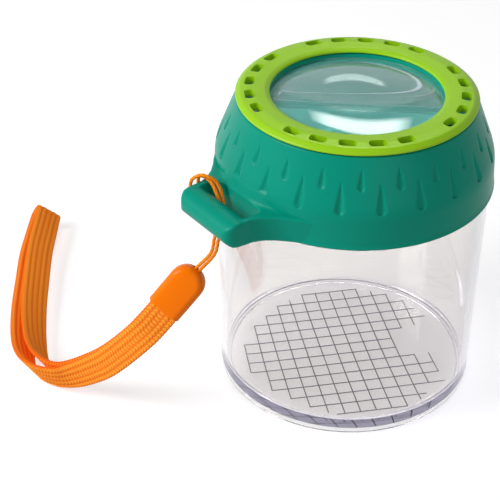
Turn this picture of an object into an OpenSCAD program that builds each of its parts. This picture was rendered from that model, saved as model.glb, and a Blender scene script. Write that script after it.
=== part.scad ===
// Bug catcher jar: a clear cup with a measuring grid, a screw lid with a magnifying lens, air slots
// and a lug, and a webbing carrying loop hung on the lug by a hitched cord.
// Millimetres. The jar stands on z = 0, its axis is Z, and the lid's lug points towards -X.

/* [Cup] */
// Outer radius at the foot
cup_foot_r = 41.5; // [30:0.1:60]
// Outer radius just under the lid
cup_top_r = 42.2; // [30:0.1:60]
// Height of the shoulder under the lid
cup_shoulder_z = 70.8; // [40:0.1:120]
// Outer radius of the threaded neck
neck_r = 40.6; // [28:0.1:58]
// Height of the rim
rim_z = 80.6; // [50:0.1:140]
// Inner radius at the floor
cup_in_low = 39.0; // [27:0.1:57]
// Inner radius at the rim
cup_in_high = 39.3; // [27:0.1:57]
// Height of the floor's underside
floor_low = 1.2; // [0.4:0.1:12]
// Height of the floor's upper side
floor_high = 3.85; // [2:0.05:16]
// Radius of the bend from the floor to the wall inside
floor_bend = 2.7; // [1:0.1:6]

/* [Thread] */
// Starts of the thread
starts = 4; // [1:1:6]
// Lead of the thread, the rise of one full turn
lead = 20; // [4:1:40]
// Angle that each rib on the neck runs
rib_angle = 70; // [20:5:85]
// Height of a rib's centre line where it starts
rib_z = 73.4; // [60:0.1:100]
// Radius of a rib's crest
rib_r = 41.2; // [30:0.1:60]
// Angle that each lug inside the lid runs
tooth_angle = 24; // [10:1:60]
// Angle where each lug inside the lid starts
tooth_from = 20; // [0:1:60]
// Distance of the lid's lugs below the ribs
tooth_drop = 1.8; // [1:0.1:3]
// Radius that the lid's lugs reach in to
tooth_r = 40.8; // [30:0.1:60]

/* [Grid] */
// Pitch of the grid
grid_pitch = 5; // [2:0.5:10]
// Width of a printed line
grid_line = 0.35; // [0.2:0.05:1]
// Thickness of the print
grid_t = 0.12; // [0.05:0.01:0.5]
// Turn of the grid about the jar's axis
grid_turn = -25.9; // [-90:0.1:90]

/* [Lid] */
// Outer radius at the lid's lower edge
lid_r = 43.5; // [32:0.1:64]
// Height of the lid's lower edge
lid_low = 71.2; // [40:0.1:120]
// Inner radius of the lid's skirt
skirt_r = 41.45; // [30:0.05:60]
// Height of the ledge over the rim
ledge_z = 80.9; // [50:0.1:140]
// Height of the plate under the ring
plate_z = 98.0; // [60:0.1:160]
// Thickness of the plate
plate_t = 2.0; // [1:0.1:4]
// Outer radius of the collar round the lens
collar_r = 29.6; // [15:0.1:40]
// Radius of the pocket for the lens
pocket_r = 27.5; // [12:0.1:38]
// Inner radius of the lip over the lens
lip_r = 26.6; // [10:0.1:36]
// Height of the collar's lower edge
collar_low = 91.0; // [60:0.1:150]

/* [Dimples] */
// Dimples in each row
dimples = 22; // [8:1:40]
// Direction of the lower row's first dimple
low_dimple_az = 174.8; // [0:0.1:360]
// Direction of the upper row's first dimple
high_dimple_az = 183.0; // [0:0.1:360]

/* [Lug] */
// Radius of the round bar
bar_r = 4.8; // [2:0.1:8]
// Half the bar's height
bar_half = 4.1; // [2:0.1:8]
// Distance of the bar from the jar's axis
bar_u = 52.6; // [45:0.1:80]
// Half the lug's width
lug_half = 12.8; // [6:0.1:25]
// Half the slot's length
slot_half = 10.8; // [4:0.1:20]
// Distance of the slot's inner wall from the jar's axis
slot_u = 43.6; // [40:0.1:70]

/* [Vent ring] */
// Inner radius of the ring
ring_in = 26.15; // [12:0.05:40]
// Outer radius of the ring
ring_out = 36.5; // [20:0.1:50]
// Height of the ring's top
ring_top = 100.5; // [60:0.1:160]
// Length of a slot round the ring
vent_long = 5.2; // [2:0.1:10]
// Width of a slot
vent_wide = 3.0; // [1:0.1:6]
// Radius of the slots' circle
vent_r = 32.4; // [20:0.1:45]

/* [Lens] */
// Radius of the lens's flange
flange_r = 27.4; // [12:0.05:38]
// Radius where the curved faces end
cap_r = 26.0; // [10:0.1:36]
// Rise of the upper curved face
sag_high = 3.4; // [1:0.1:8]
// Drop of the lower curved face
sag_low = 1.6; // [0.5:0.1:8]
// Height of the flange's underside
flange_low = 95.9; // [60:0.1:150]
// Height of the flange's upper side
flange_high = 96.9; // [60:0.1:150]

/* [Strap] */
// Diameter of the hitch cord
cord_d = 1.1; // [0.6:0.1:3]
// Width of the webbing
web_w = 9.8; // [4:0.1:25]
// Thickness of the webbing
web_t = 1.8; // [0.6:0.1:4]
// Width of the clip
clip_w = 11.2; // [5:0.1:30]
// Thickness of the clip
clip_t = 6.4; // [3:0.1:12]
// Length of the clip
clip_len = 16.5; // [8:0.1:40]
// Width of the clip's cavity
cavity_w = 10.1; // [4:0.1:28]
// Thickness of the clip's cavity
cavity_t = 4.8; // [2:0.1:10]

/* [Hidden] */
$fn = 96;
clear_plastic = [0.85, 0.83, 0.9, 0.35];
ink = [0.35, 0.3, 0.42];
teal = [0.05, 0.69, 0.62];
lime = [0.72, 0.82, 0.16];
orange = [0.98, 0.45, 0.08];
// Half the height of a rib's crest and of the lid's thread lugs
rib_half = 0.5;
tooth_half = 0.7;
// The four air windows in the lid's plate: their angle, where they start, and their radii
window_angle = 68;
window_from = 11;
window_in = 30.6;
window_wide = 3.6;
// The dimples of each row: the lower end's distance from the axis, its height, its radius,
// how far its centre stands out from the cone, and the length up to the point
low_dimple = [41.88, 83.9, 1.96, 1.26, 7.85];
high_dimple = [39.41, 90.2, 1.4, 0.8, 5.09];
// Middle of the clip's mouth, and its turn: X runs across it, Y through it and Z up to the cord.
clip_at = [-64.5, 9.9, 41.2];
clip_turn = [-22.5, 33, -61];
// The hole for the doubled cord in the clip's top
cord_hole_w = 3.0;
cord_hole_t = 1.7;
// Middle of the lug's height
bar_z = lid_low + bar_half - 0.05;
// Slope of the lid's cone
lean = 21.5;
// The hitch cord's middle line: up from the clip through the slot, over the bar's far end,
// back beneath it, round the two standing strands, and the same way back.
cord_route = [
    [-56.7, 6.0, 50.9], [-54.4, 5.1, 54.0], [-51.3, 2.1, 60.0], [-49.6, 2.3, 64.8], [-47.4, 3.2, 69.0],
    [-45.9, 4.4, 72.5], [-45.6, 5.6, 75.8], [-45.8, 6.7, 78.8], [-46.6, 8.0, 81.1], [-48.2, 9.4, 82.3],
    [-49.2, 10.8, 82.5], [-50.1, 12.2, 81.8], [-50.9, 13.9, 79.9], [-51.3, 14.2, 77.0], [-51.3, 14.2, 74.0],
    [-50.9, 14.1, 71.2], [-50.4, 11.9, 69.9], [-49.9, 8.0, 69.6], [-49.7, 5.2, 69.2], [-49.4, 3.2, 68.9],
    [-48.8, 1.9, 68.7], [-47.7, 1.4, 68.6], [-46.6, 1.9, 68.7], [-46.0, 3.2, 68.9], [-46.0, 5.2, 69.2],
    [-46.3, 8.0, 69.7], [-46.8, 12.2, 69.9], [-47.3, 14.7, 71.1], [-47.9, 14.7, 74.2], [-48.3, 14.3, 77.0],
    [-48.5, 13.9, 79.4], [-48.6, 12.9, 81.2], [-48.5, 11.4, 81.6], [-48.0, 10.2, 81.4], [-47.4, 8.7, 80.3],
    [-47.1, 6.9, 78.0], [-47.0, 5.3, 75.0], [-47.2, 4.6, 71.6], [-48.3, 4.1, 68.6], [-50.3, 3.4, 64.8],
    [-51.9, 3.1, 60.2], [-54.9, 6.0, 54.7], [-57.3, 7.1, 51.7]];
// The webbing's middle line between its two layers, the lean of its width from upright,
// the distance between the layers, and the outer layer's shift along the width.
web_route = [
    [-62.6, 9.1, 43.8, -30, 2.4, 0], [-66.0, 10.0, 39.5, -26, 2.4, 0], [-71.0, 12.5, 33.0, -18, 2.8, 0],
    [-75.0, 17.0, 26.0, -9, 3.2, 0], [-78.5, 23.0, 18.5, -3, 3.4, 0], [-81.5, 29.5, 12.5, 3, 3.5, 0.4],
    [-84.5, 35.5, 8.0, 10, 3.6, 1.0], [-87.5, 40.5, 6.0, 17, 3.6, 1.6], [-89.5, 46.5, 5.5, 26, 4.0, 1.8],
    [-89.0, 54.0, 5.4, 38, 4.2, 1.8], [-85.0, 63.5, 5.3, 50, 4.4, 1.6], [-77.0, 77.5, 5.2, 58, 4.6, 1.4],
    [-67.5, 92.0, 5.1, 62, 4.8, 1.2], [-59.0, 104.5, 5.4, 62, 5.0, 1.0], [-51.5, 114.0, 5.9, 60, 5.0, 0.6],
    [-44.5, 122.5, 6.5, 56, 5.0, 0]];

// Point i of a route, with straight run-outs past both ends.
function at(p, i) = i < 0 ? 2 * p[0] - p[1] : i >= len(p) ? 2 * p[len(p) - 1] - p[len(p) - 2] : p[i];
// A smooth curve through the points, at fraction u between points i and i + 1.
function curve(p, i, u) = 0.5 * (2 * at(p, i) + (at(p, i + 1) - at(p, i - 1)) * u
    + (2 * at(p, i - 1) - 5 * at(p, i) + 4 * at(p, i + 1) - at(p, i + 2)) * u * u
    + (3 * at(p, i) - at(p, i - 1) - 3 * at(p, i + 1) + at(p, i + 2)) * u * u * u);
// The curve sampled n times between neighbouring points.
function smooth(p, n) = concat(
    [for (i = [0 : len(p) - 2]) for (k = [0 : n - 1]) curve(p, i, k / n)],
    [p[len(p) - 1]]);
function unit(v) = v / norm(v);
function xyz(v) = [v[0], v[1], v[2]];
// Direction of a line of points at point i.
function along(p, i) = unit(xyz(at(p, i + 1)) - xyz(at(p, i - 1)));
// A side direction carried along the line without twist, one for each point.
function square_to(v, way) = unit(v - way * (v * way));
function carried(p, i, last, done) = i >= len(p) ? done
    : let (next = square_to(last, along(p, i))) carried(p, i + 1, next, concat(done, [next]));
// Faces of a skin over n rings of m points, closed by a cap at each end.
function skin(n, m) = concat(
    [[for (j = [0 : m - 1]) j]],
    [for (i = [0 : n - 2]) for (j = [0 : m - 1]) [i * m + j, (i + 1) * m + j, (i + 1) * m + (j + 1) % m]],
    [for (i = [0 : n - 2]) for (j = [0 : m - 1]) [i * m + j, (i + 1) * m + (j + 1) % m, i * m + (j + 1) % m]],
    [[for (j = [m - 1 : -1 : 0]) (n - 1) * m + j]]);
// Faces of a skin over n rings of m points that meets itself.
function in_hoop(i, j, n, m) = (i % n) * m + j % m;
function hoop(n, m) = concat(
    [for (i = [0 : n - 1]) for (j = [0 : m - 1])
        [in_hoop(i, j, n, m), in_hoop(i + 1, j, n, m), in_hoop(i + 1, j + 1, n, m)]],
    [for (i = [0 : n - 1]) for (j = [0 : m - 1])
        [in_hoop(i, j, n, m), in_hoop(i + 1, j + 1, n, m), in_hoop(i, j + 1, n, m)]]);
// A circle of m points about c, in the plane of a and b.
function ring_points(c, a, b, r, m) = [for (j = [0 : m - 1])
    c + r * (cos(360 * j / m) * a + sin(360 * j / m) * b)];

// A round tube along a line of points.
module tube(line, r, m) {
    first = unit(cross(along(line, 0), [0, 0, 1]));
    side = carried(line, 1, first, [first]);
    pts = [for (i = [0 : len(line) - 1])
        each ring_points(line[i], side[i], cross(side[i], along(line, i)), r, m)];
    polyhedron(pts, skin(len(line), m));
}

// Webbing frames: the width and the thickness direction at point i.
function web_side(p, i) = unit(cross([0, 0, 1], along(p, i)));
function web_up(p, i) = cross(along(p, i), web_side(p, i));
function web_wide(p, i) = cos(p[i][3]) * web_up(p, i) + sin(p[i][3]) * web_side(p, i);
function web_thick(p, i) = cross(web_wide(p, i), along(p, i));
// Half the way from the inner to the outer layer.
function web_half(p, i) = web_thick(p, i) * p[i][4] / 2 + web_wide(p, i) * p[i][5] / 2;
// The webbing's cross-section, a flat strip with blunt corners.
blunt = 0.35;
web_x = web_w / 2;
web_y = web_t / 2;
web_section = [
    [web_x, web_y - blunt], [web_x - blunt, web_y], [-web_x + blunt, web_y], [-web_x, web_y - blunt],
    [-web_x, -web_y + blunt], [-web_x + blunt, -web_y], [web_x - blunt, -web_y], [web_x, -web_y + blunt]];
function web_ring(c, w, n) = [for (q = web_section) c + w * q[0] + n * q[1]];

// A list backwards, and faces that look the other way.
function backwards(l) = [for (k = [len(l) - 1 : -1 : 0]) l[k]];
function turned_over(faces) = [for (f = faces) backwards(f)];

// A thread rib: a strip with a sloping section along a helix, low at both ends.
function rib_ring(a, z, root, crest, half_root, half_crest) = [
    [root * cos(a), root * sin(a), z - half_root], [crest * cos(a), crest * sin(a), z - half_crest],
    [crest * cos(a), crest * sin(a), z + half_crest], [root * cos(a), root * sin(a), z + half_root]];
module rib(from, angle, z0, root, crest, near, half_root, half_crest) {
    steps = ceil(angle / 4);
    faces = skin(steps + 1, 4);
    pts = [for (k = [0 : steps])
        let (a = from + angle * k / steps, top = (k == 0 || k == steps) ? near : crest)
        each rib_ring(a, z0 + lead * a / 360, root, top, half_root, half_crest)];
    polyhedron(pts, crest > root ? faces : turned_over(faces));
}

// A rectangle with round corners, as points.
function round_box(x0, x1, y0, y1, r, n) = concat(
    [for (k = [0 : n]) [x1 - r + r * cos(90 * k / n), y1 - r + r * sin(90 * k / n)]],
    [for (k = [0 : n]) [x0 + r + r * cos(90 + 90 * k / n), y1 - r + r * sin(90 + 90 * k / n)]],
    [for (k = [0 : n]) [x0 + r + r * cos(180 + 90 * k / n), y0 + r + r * sin(180 + 90 * k / n)]],
    [for (k = [0 : n]) [x1 - r + r * cos(270 + 90 * k / n), y0 + r + r * sin(270 + 90 * k / n)]]);

// Clear cup with a raised floor, a foot ring and a threaded neck.
module cup() {
    color(clear_plastic) union() {
        rotate_extrude() polygon([
            [0, floor_low], [38.5, floor_low], [39.0, floor_low - 0.3], [39.3, 0.2], [39.6, 0],
            [cup_foot_r - 0.8, 0], [cup_foot_r - 0.25, 0.4], [cup_foot_r, 1.2],
            [cup_top_r, cup_shoulder_z - 0.4], [cup_top_r - 0.4, cup_shoulder_z], [neck_r, cup_shoulder_z],
            [neck_r, rim_z - 0.4], [neck_r - 0.4, rim_z], [cup_in_high + 0.3, rim_z],
            [cup_in_high, rim_z - 0.3], [cup_in_low, floor_high + floor_bend],
            [cup_in_low - floor_bend * 0.134, floor_high + floor_bend * 0.5],
            [cup_in_low - floor_bend * 0.5, floor_high + floor_bend * 0.134],
            [cup_in_low - floor_bend, floor_high], [0, floor_high]]);
        for (s = [0 : starts - 1])
            rotate([0, 0, s * 360 / starts])
                rib(0, rib_angle, rib_z, neck_r - 0.3, rib_r, neck_r + 0.1, rib_half + 0.3, rib_half);
    }
}

// Thin printed lattice on the floor's underside. Columns run one way and rows the other.
module column(c, from, to) {
    translate([(c - 6.5) * grid_pitch - grid_line / 2, -(to - 7.5) * grid_pitch - grid_line / 2])
        square([grid_line, (to - from) * grid_pitch + grid_line]);
}
module row(b, from, to) {
    translate([(from - 6.5) * grid_pitch - grid_line / 2, -(b - 7.5) * grid_pitch - grid_line / 2])
        square([(to - from) * grid_pitch + grid_line, grid_line]);
}
module measuring_grid() {
    color(ink) translate([0, 0, floor_low - grid_t]) rotate(grid_turn) linear_extrude(grid_t) union() {
        column(0, 6, 9);
        column(1, 4, 11);
        column(2, 3, 12);
        column(3, 2, 13);
        column(4, 1.5, 13.7);
        for (c = [5 : 9])
            column(c, 1, 14);
        column(10, 1.5, 13.5);
        column(11, 2, 6);
        column(11, 9, 12);
        column(12, 3, 5.8);
        column(12, 9, 11);
        row(1, 5, 9);
        row(2, 3, 11);
        row(3, 2, 12);
        row(4, 1, 12.5);
        row(5, 1, 13);
        row(6, 0, 11);
        row(7, 0, 10);
        row(8, 0, 10);
        row(9, 0, 11);
        row(10, 1, 12);
        row(11, 1, 12);
        row(12, 2, 12);
        row(13, 3, 10.5);
        row(14, 4.5, 9);
    }
}

// A teardrop hollow in the lid's cone: a ball at the bottom and a cone that runs out to a point above it.
module teardrop(d) {
    ball = d[2];
    rise = d[3];
    length = d[4];
    translate([d[0], 0, d[1]]) rotate([0, -lean, 0]) translate([rise, 0, 0]) {
        sphere(r = ball, $fn = 48);
        rotate([0, -atan(rise / length), 0])
            cylinder(h = norm([rise, length]), r1 = ball - 0.05, r2 = 0.02, $fn = 48);
    }
}
module dimple_row(first, d) {
    for (k = [0 : dimples - 1])
        rotate([0, 0, first + k * 360 / dimples]) teardrop(d);
}

// Plan of the lug, as distances from the axis and half widths.
function lug_side(s) = [
    [30, s * 28], [37.4, s * 22.2], [39.8, s * 18.9], [42, s * 16.6], [44.5, s * 14.7], [47, s * 13.4],
    [49.5, s * lug_half], [bar_u + 1.2, s * lug_half], [bar_u + 2.6, s * (lug_half - 0.4)],
    [bar_u + 3.8, s * (lug_half - 1.2)], [bar_u + 4.6, s * (lug_half - 2.4)],
    [bar_u + 4.9, s * (lug_half - 3.8)]];
module lug_plan() {
    mirror([1, 0, 0]) polygon(concat(lug_side(1), backwards(lug_side(-1))));
}
module lug() {
    difference() {
        intersection() {
            translate([0, 0, lid_low - 1]) linear_extrude(2 * bar_half + 2) lug_plan();
            union() {
                difference() {
                    translate([-bar_u, -30, lid_low]) cube([bar_u - 30, 60, 2 * bar_half - 0.1]);
                    translate([0, 0, lid_low - 1]) linear_extrude(2 * bar_half + 2)
                        polygon(round_box(-bar_u - 6, -slot_u, -slot_half, slot_half, 2.1, 4));
                }
                translate([-bar_u, 30, bar_z]) rotate([90, 0, 0]) linear_extrude(60)
                    polygon([for (a = [0 : 7.5 : 359]) [bar_r * cos(a), bar_half * sin(a)]]);
            }
        }
        translate([0, 0, lid_low - 2]) cylinder(h = 2 * bar_half + 4, r = skirt_r + 0.6);
    }
}

// Lid: threaded skirt, dimpled cone, plate with air windows, collar for the lens, and the lug.
module lid_shell() {
    color(teal) difference() {
        union() {
            rotate_extrude() polygon([
                [skirt_r, lid_low], [lid_r, lid_low], [lid_r - 0.35, lid_low + 1], [42.6, 81.0], [42.0, 83.6],
                [37.2, 95.8], [36.4, plate_z], [collar_r, plate_z], [collar_r, plate_z + 0.3],
                [lip_r, plate_z + 0.3], [lip_r, flange_high + 0.1], [pocket_r, flange_high + 0.1],
                [pocket_r, collar_low], [collar_r, collar_low], [collar_r, plate_z - plate_t],
                [35.2, plate_z - plate_t], [39.7, 84.5], [39.4, ledge_z], [skirt_r, ledge_z]]);
            lug();
            for (s = [0 : starts - 1])
                rotate([0, 0, s * 360 / starts])
                    rib(tooth_from, tooth_angle, rib_z - tooth_drop, skirt_r + 0.35, tooth_r, skirt_r - 0.25,
                        tooth_half + 0.2, tooth_half);
        }
        dimple_row(low_dimple_az, low_dimple);
        dimple_row(high_dimple_az, high_dimple);
        for (k = [0 : 3])
            rotate([0, 0, window_from + k * 90]) rotate_extrude(angle = window_angle)
                translate([window_in, plate_z - plate_t - 1]) square([window_wide, plate_t + 2]);
    }
}

// Domed ring with air slots, seated on the lid's plate.
module vent_ring() {
    color(lime) difference() {
        rotate_extrude() polygon([
            [collar_r + 0.2, plate_z], [ring_out - 0.9, plate_z], [ring_out - 0.2, plate_z + 0.4],
            [ring_out, plate_z + 0.9], [ring_out - 0.7, ring_top - 0.9], [ring_out - 2, ring_top - 0.3],
            [33.0, ring_top - 0.05], [31.5, ring_top], [29.4, ring_top - 0.1], [27.5, ring_top - 0.4],
            [ring_in + 0.3, ring_top - 0.75], [ring_in, ring_top - 1.1], [ring_in, ring_top - 1.5],
            [ring_in + 0.55, plate_z + 0.6], [collar_r + 0.2, plate_z + 0.6]]);
        for (k = [0 : 23])
            if (k % 6 != 0)
                rotate([0, 0, k * 15]) translate([vent_r, 0, plate_z - 1]) linear_extrude(4)
                    polygon(round_box(-vent_wide / 2, vent_wide / 2, -vent_long / 2, vent_long / 2, 1.1, 3));
    }
}

// Clear lens, curved on both faces, with a flat flange.
function cap_rise(r, sag) = sag * (1 - (r / cap_r) * (r / cap_r));
module lens() {
    color([0.8, 0.9, 0.92, 0.35]) rotate_extrude() polygon(concat(
        [[0, flange_low - sag_low]],
        [for (k = [1 : 12]) [cap_r * k / 12, flange_low - cap_rise(cap_r * k / 12, sag_low)]],
        [[flange_r, flange_low], [flange_r, flange_high]],
        [for (k = [12 : -1 : 1]) [cap_r * k / 12, flange_high + cap_rise(cap_r * k / 12, sag_high)]],
        [[0, flange_high + sag_high]]));
}

// Ring pressed into the collar under the lens.
module lens_retainer() {
    color(teal) rotate_extrude() polygon([
        [25.6, 92.6], [pocket_r, 92.6], [pocket_r, flange_low - 0.1], [26.2, flange_low - 0.1],
        [25.6, 94.0]]);
}

// Thin cord, doubled and hitched through the lug's slot.
module hitch_cord() {
    color(orange) tube(smooth(cord_route, 2), cord_d / 2, 8);
}

// The cord's knot inside the clip, an overhand knot drawn as a closed tube.
function knot_point(a) = 0.62 * [sin(a) + 2.4 * sin(2 * a), -1.8 * sin(3 * a), cos(a) - 2.4 * cos(2 * a)];
function knot_way(a) = unit(knot_point(a + 1) - knot_point(a - 1));
function knot_side(a) = unit(cross(knot_way(a), [0, 1, 0]));
function knot_up(a) = cross(knot_side(a), knot_way(a));
function knot_ring(a) = ring_points(knot_point(a), knot_side(a), knot_up(a), cord_d / 2, 8);
module cord_knot() {
    color(orange) translate(clip_at) rotate(clip_turn) translate([0, 0, 9.6])
        polyhedron([for (i = [0 : 47]) each knot_ring(i * 7.5)], hoop(48, 8));
}

// Moulded clip, round at the top, hollow from its mouth, with a hole for the cord.
function tombstone(half, top, n) = concat(
    [[-half, -1], [half, -1]],
    [for (k = [0 : n]) [half * cos(180 * k / n), top - half + half * sin(180 * k / n)]]);
module tombstone_plate(width, thickness, top) {
    translate([0, thickness / 2, 0]) rotate([90, 0, 0]) linear_extrude(thickness)
        polygon(tombstone(width / 2, top, 20));
}
module strap_clip() {
    color(orange) translate(clip_at) rotate(clip_turn) difference() {
        intersection() {
            tombstone_plate(clip_w, clip_t, clip_len);
            translate([-clip_w, -clip_t, 0]) cube([2 * clip_w, 2 * clip_t, clip_len + 1]);
        }
        tombstone_plate(cavity_w, cavity_t, clip_len - 2.3);
        translate([-cord_hole_w / 2, -cord_hole_t / 2, clip_len - 4.5]) cube([cord_hole_w, cord_hole_t, 6]);
    }
}

// Flat webbing, folded back on itself into one long loop, both ends in the clip.
module webbing_loop() {
    p = smooth(web_route, 2);
    last = len(p) - 1;
    pitch = p[last][4] / 2;
    w = web_wide(p, last);
    t = along(p, last);
    n = web_thick(p, last);
    rings = concat(
        [for (i = [0 : last]) web_ring(xyz(p[i]) - web_half(p, i), web_wide(p, i), web_thick(p, i))],
        [for (a = [30 : 30 : 150])
            web_ring(xyz(p[last]) + pitch * (sin(a) * t - cos(a) * n), w, cos(a) * n - sin(a) * t)],
        [for (i = [last : -1 : 0]) web_ring(xyz(p[i]) + web_half(p, i), web_wide(p, i), -web_thick(p, i))]);
    color(orange) polyhedron([for (r = rings) each r], turned_over(skin(len(rings), 8)));
}

cup();
measuring_grid();
lid_shell();
vent_ring();
lens();
lens_retainer();
hitch_cord();
cord_knot();
strap_clip();
webbing_loop();
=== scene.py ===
"""Looks of the bug catcher jar: a clear cup, a screw lid with a lens and air slots, and a hitched webbing loop.

Lengths are in millimetres, turned to metres by MM, but the cords' routes and lengths and the studio's places are in
metres. The jar stands on z = 0 and its lug points to -X.
"""

from __future__ import annotations

import logging
import math
from dataclasses import dataclass
from enum import Enum
from typing import Callable, Sequence, Union

import bpy
import numpy as np
from bpy.types import Material, Node, NodeSocket, NodeTree, Object
from mathutils import Matrix, Vector

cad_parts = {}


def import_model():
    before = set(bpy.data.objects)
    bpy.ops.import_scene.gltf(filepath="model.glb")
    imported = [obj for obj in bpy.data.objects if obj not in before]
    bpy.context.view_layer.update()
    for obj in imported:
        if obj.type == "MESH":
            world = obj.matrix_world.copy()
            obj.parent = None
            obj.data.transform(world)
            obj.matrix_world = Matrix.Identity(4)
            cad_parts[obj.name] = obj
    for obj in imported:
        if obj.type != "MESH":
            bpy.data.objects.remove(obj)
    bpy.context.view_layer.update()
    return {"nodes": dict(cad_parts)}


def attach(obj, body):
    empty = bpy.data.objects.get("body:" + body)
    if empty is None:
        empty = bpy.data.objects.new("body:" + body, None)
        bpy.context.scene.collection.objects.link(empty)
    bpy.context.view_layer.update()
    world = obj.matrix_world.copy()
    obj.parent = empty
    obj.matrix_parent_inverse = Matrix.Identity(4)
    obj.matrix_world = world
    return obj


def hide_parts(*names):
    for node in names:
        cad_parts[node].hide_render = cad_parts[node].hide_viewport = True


MM = 0.001
TURN = math.tau
TINY = 1e-6
WELD = 0.0005 * MM
WHITE = (1, 1, 1, 1)
QUARTERS = (0, 90, 180, 270)
THREAD_LEAD = 20
LOG = logging.getLogger("bug_jar")
Point = tuple[float, float]
Triple = tuple[float, float, float]
Source = Union[Node, NodeSocket]


class Body(str, Enum):
    """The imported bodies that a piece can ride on."""

    JAR = "jar"
    LENS = "lens"
    LID = "lid"


class Cut(str, Enum):
    """How one solid changes another."""

    TAKE_AWAY = "DIFFERENCE"
    ADD = "UNION"
    KEEP_COMMON = "INTERSECT"


# Colour and nodes


def linear(sheet_colour: str) -> tuple[float, float, float, float]:
    """Turns an sRGB hex colour to linear light.

    Args:
        sheet_colour: six hex digits with a leading hash.

    Returns:
        Red, green, blue and an alpha of one.
    """
    parts = [int(sheet_colour[i : i + 2], 16) / 255 for i in (1, 3, 5)]
    red, green, blue = (p / 12.92 if p <= 0.04045 else ((p + 0.055) / 1.055) ** 2.4 for p in parts)
    return red, green, blue, 1.0


def add_node(tree: NodeTree, kind: str, settings: dict | None = None, links: dict | None = None) -> Node:
    """Adds one node to a tree.

    Args:
        tree: the tree that gets the node.
        kind: Blender's name for the node's type.
        settings: input names or numbers, or property names, with their values.
        links: input names or numbers with what feeds them, a socket or a node by its first output.

    Returns:
        The new node.
    """
    node = tree.nodes.new(kind)
    for name, value in (settings or {}).items():
        if isinstance(name, int) or name in node.inputs:
            node.inputs[name].default_value = value
        else:
            setattr(node, name, value)
    for name, source in (links or {}).items():
        tree.links.new(source.outputs[0] if isinstance(source, Node) else source, node.inputs[name])
    return node


def new_material(name: str) -> tuple[Material, NodeTree]:
    """Makes an empty node material.

    Args:
        name: the finish it is.

    Returns:
        The material and its emptied node tree.
    """
    material = bpy.data.materials.new(name)
    material.use_nodes = True
    material.node_tree.nodes.clear()
    return material, material.node_tree


def surfaced(material: Material, **shaders: Source) -> Material:
    """Ends a material with its shaders, each named Surface or Volume, and returns it."""
    add_node(material.node_tree, "ShaderNodeOutputMaterial", links=shaders)
    return material


def noise(tree: NodeTree, size_mm: float, detail: float) -> Node:
    """Adds a noise pattern in the piece's own space, by the size of its patches and how many finer layers it has."""
    place, settings = add_node(tree, "ShaderNodeTexCoord"), {"Scale": 1 / (size_mm * MM), "Detail": detail}
    return add_node(tree, "ShaderNodeTexNoise", settings, {"Vector": place.outputs["Object"]})


def between(tree: NodeTree, first: str, second: str, share: Source) -> NodeSocket:
    """Mixes two hex colours by a share, which is zero for the first and one for the second."""
    settings = {"data_type": "RGBA", 6: linear(first), 7: linear(second)}
    return add_node(tree, "ShaderNodeMix", settings, {0: share}).outputs[2]


def ramp(tree: NodeTree, value: Source, source: Point = (0.0, 1.0), target: Point = (0.0, 1.0)) -> Node:
    """Maps a value from one range to another and keeps it inside."""
    settings = {"From Min": source[0], "From Max": source[1], "To Min": target[0], "To Max": target[1]}
    return add_node(tree, "ShaderNodeMapRange", settings, {"Value": value})


def calc(tree: NodeTree, how: str, *terms: float | Source) -> Node:
    """Adds a math node.

    Args:
        tree: the tree that gets it.
        how: Blender's name for the operation.
        terms: its terms, floating-point numbers or what feeds them.

    Returns:
        The node, whose first output is the result.
    """
    numbers = {place: term for place, term in enumerate(terms) if isinstance(term, float)}
    sources = {place: term for place, term in enumerate(terms) if place not in numbers}
    return add_node(tree, "ShaderNodeMath", {"operation": how, **numbers}, sources)


def seen_directly(tree: NodeTree) -> Node:
    """Finds the rays that show the backdrop itself: straight, mirrored, or through clear walls.

    Args:
        tree: the tree that gets the nodes.

    Returns:
        One for such a ray, zero for one that only lights something.
    """
    path = add_node(tree, "ShaderNodeLightPath").outputs
    mirrored = calc(tree, "MAXIMUM", path["Is Camera Ray"], path["Is Glossy Ray"])
    return calc(tree, "MAXIMUM", mirrored, path["Is Transmission Ray"])


# Finishes


@dataclass(frozen=True)
class MouldedPlastic:
    """Injection-moulded ABS from a lightly eroded tool: a satin skin with a fine grain and faint flow shading."""

    name: str
    colour: str
    shade: str
    roughness: float = 0.38
    glow: float = 0.0
    shine: float = 0.3
    grain_mm: float = 0.35
    flow_mm: float = 14.0
    gloss_spread: float = 0.05

    def make(self) -> Material:
        """Builds the material."""
        material, tree = new_material(self.name)
        grain = noise(tree, self.grain_mm, 3.0)
        gloss = ramp(tree, grain, target=(self.roughness - self.gloss_spread, self.roughness + self.gloss_spread))
        skin = add_node(tree, "ShaderNodeBump", {"Strength": 0.12, "Distance": 0.02 * MM}, {"Height": grain})
        tint = between(tree, self.shade, self.colour, noise(tree, self.flow_mm, 2.0))
        shader = add_node(
            tree, "ShaderNodeBsdfPrincipled",
            {
                "IOR": 1.5, "Specular IOR Level": self.shine, "Subsurface Weight": self.glow,
                "Subsurface Radius": (1.0, 0.45, 0.2), "Subsurface Scale": 1.2 * MM,
            },
            {"Base Color": tint, "Roughness": gloss, "Normal": skin},
        )
        return surfaced(material, Surface=shader)


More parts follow.
